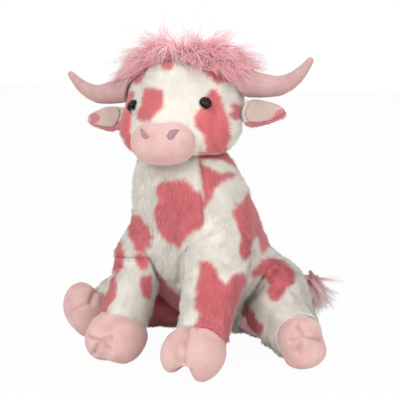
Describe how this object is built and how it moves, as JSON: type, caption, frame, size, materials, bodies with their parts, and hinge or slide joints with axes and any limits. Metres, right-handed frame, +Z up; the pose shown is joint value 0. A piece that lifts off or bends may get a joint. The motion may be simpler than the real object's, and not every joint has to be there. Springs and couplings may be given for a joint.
{
  "type": "plush cow soft toy",
  "caption": "Seated plush cow with patched fur, stuffed horns, a shaggy forelock, cloven velour hooves, floppy ears and a tufted tail on soft sewn joints.",
  "frame": {"origin": "middle of the flat seat that the toy rests on, on the floor plane", "axes": "+Z up, the toy faces -Y, its own left side is +X"},
  "size_m": [0.3568, 0.3193, 0.4026],
  "materials": {
    "patched_plush": "dense cut-pile plush, cream-white with airbrushed or printed rose patches",
    "rose_plush": "cut-pile plush, rose",
    "long_pile": "long curly pile, rose with pale ends",
    "blush_velboa": "short-nap velboa, pale pink",
    "mauve_velboa": "short-nap velboa, mauve pink",
    "shell_velboa": "short-nap velboa, cream pink",
    "embroidery": "satin-stitch embroidery, greyish mauve",
    "eye_plastic": "polished, near black",
    "washer_plastic": "moulded nylon, natural"
  },
  "bodies": {
    "torso": {"torso": "patched_plush"},
    "head": {"head": "patched_plush", "muzzle": "blush_velboa", "forelock": "long_pile", "nostril_left": "embroidery", "eye_left": "eye_plastic", "eye_washer_left": "washer_plastic", "horn_left": "mauve_velboa", "nostril_right": "embroidery", "eye_right": "eye_plastic", "eye_washer_right": "washer_plastic", "horn_right": "mauve_velboa"},
    "ear_left": {"ear_back_left": "rose_plush", "ear_lining_left": "shell_velboa"},
    "front_leg_left": {"front_leg_left": "patched_plush", "front_hoof_left": "blush_velboa"},
    "hind_leg_left": {"hind_leg_left": "patched_plush", "hind_hoof_left": "blush_velboa"},
    "ear_right": {"ear_back_right": "rose_plush", "ear_lining_right": "shell_velboa"},
    "front_leg_right": {"front_leg_right": "patched_plush", "front_hoof_right": "blush_velboa"},
    "hind_leg_right": {"hind_leg_right": "patched_plush", "hind_hoof_right": "blush_velboa"},
    "tail": {"tail": "patched_plush", "tail_tuft": "long_pile"}
  },
  "joints": [
    {"name": "head_nod", "type": "hinge", "parent": "torso", "child": "head", "pos_m": [0, -0.124, 0.222], "axis": [1, 0, 0], "range_deg": [-10, 5], "stiffness_Nm_per_rad": 1.5},
    {"name": "front_leg_swing_left", "type": "hinge", "parent": "torso", "child": "front_leg_left", "pos_m": [0.05, -0.108, 0.172], "axis": [1, 0, 0], "range_deg": [-16, 3], "stiffness_Nm_per_rad": 3},
    {"name": "front_leg_swing_right", "type": "hinge", "parent": "torso", "child": "front_leg_right", "pos_m": [-0.042, -0.108, 0.172], "axis": [1, 0, 0], "range_deg": [-16, 3], "stiffness_Nm_per_rad": 3},
    {"name": "hind_leg_lift_left", "type": "hinge", "parent": "torso", "child": "hind_leg_left", "pos_m": [0.06, -0.022, 0.0605], "axis": [1, 0, 0], "range_deg": [-16, 0], "stiffness_Nm_per_rad": 3},
    {"name": "hind_leg_lift_right", "type": "hinge", "parent": "torso", "child": "hind_leg_right", "pos_m": [-0.06, -0.022, 0.0605], "axis": [1, 0, 0], "range_deg": [-16, 0], "stiffness_Nm_per_rad": 3},
    {"name": "ear_flap_left", "type": "hinge", "parent": "head", "child": "ear_left", "pos_m": [0.08474, -0.132, 0.29821], "axis": [-0.0566, 0.3746, 0.9255], "range_deg": [-18, 24], "stiffness_Nm_per_rad": 0.02},
    {"name": "ear_flap_right", "type": "hinge", "parent": "head", "child": "ear_right", "pos_m": [-0.08341, -0.132, 0.28793], "axis": [0.0566, -0.3746, -0.9255], "range_deg": [-18, 24], "stiffness_Nm_per_rad": 0.02},
    {"name": "tail_wag", "type": "hinge", "parent": "torso", "child": "tail", "pos_m": [0, 0.04989, 0.056], "axis": [0, 0, 1], "range_deg": [-2, 60], "stiffness_Nm_per_rad": 0.1}
  ]
}
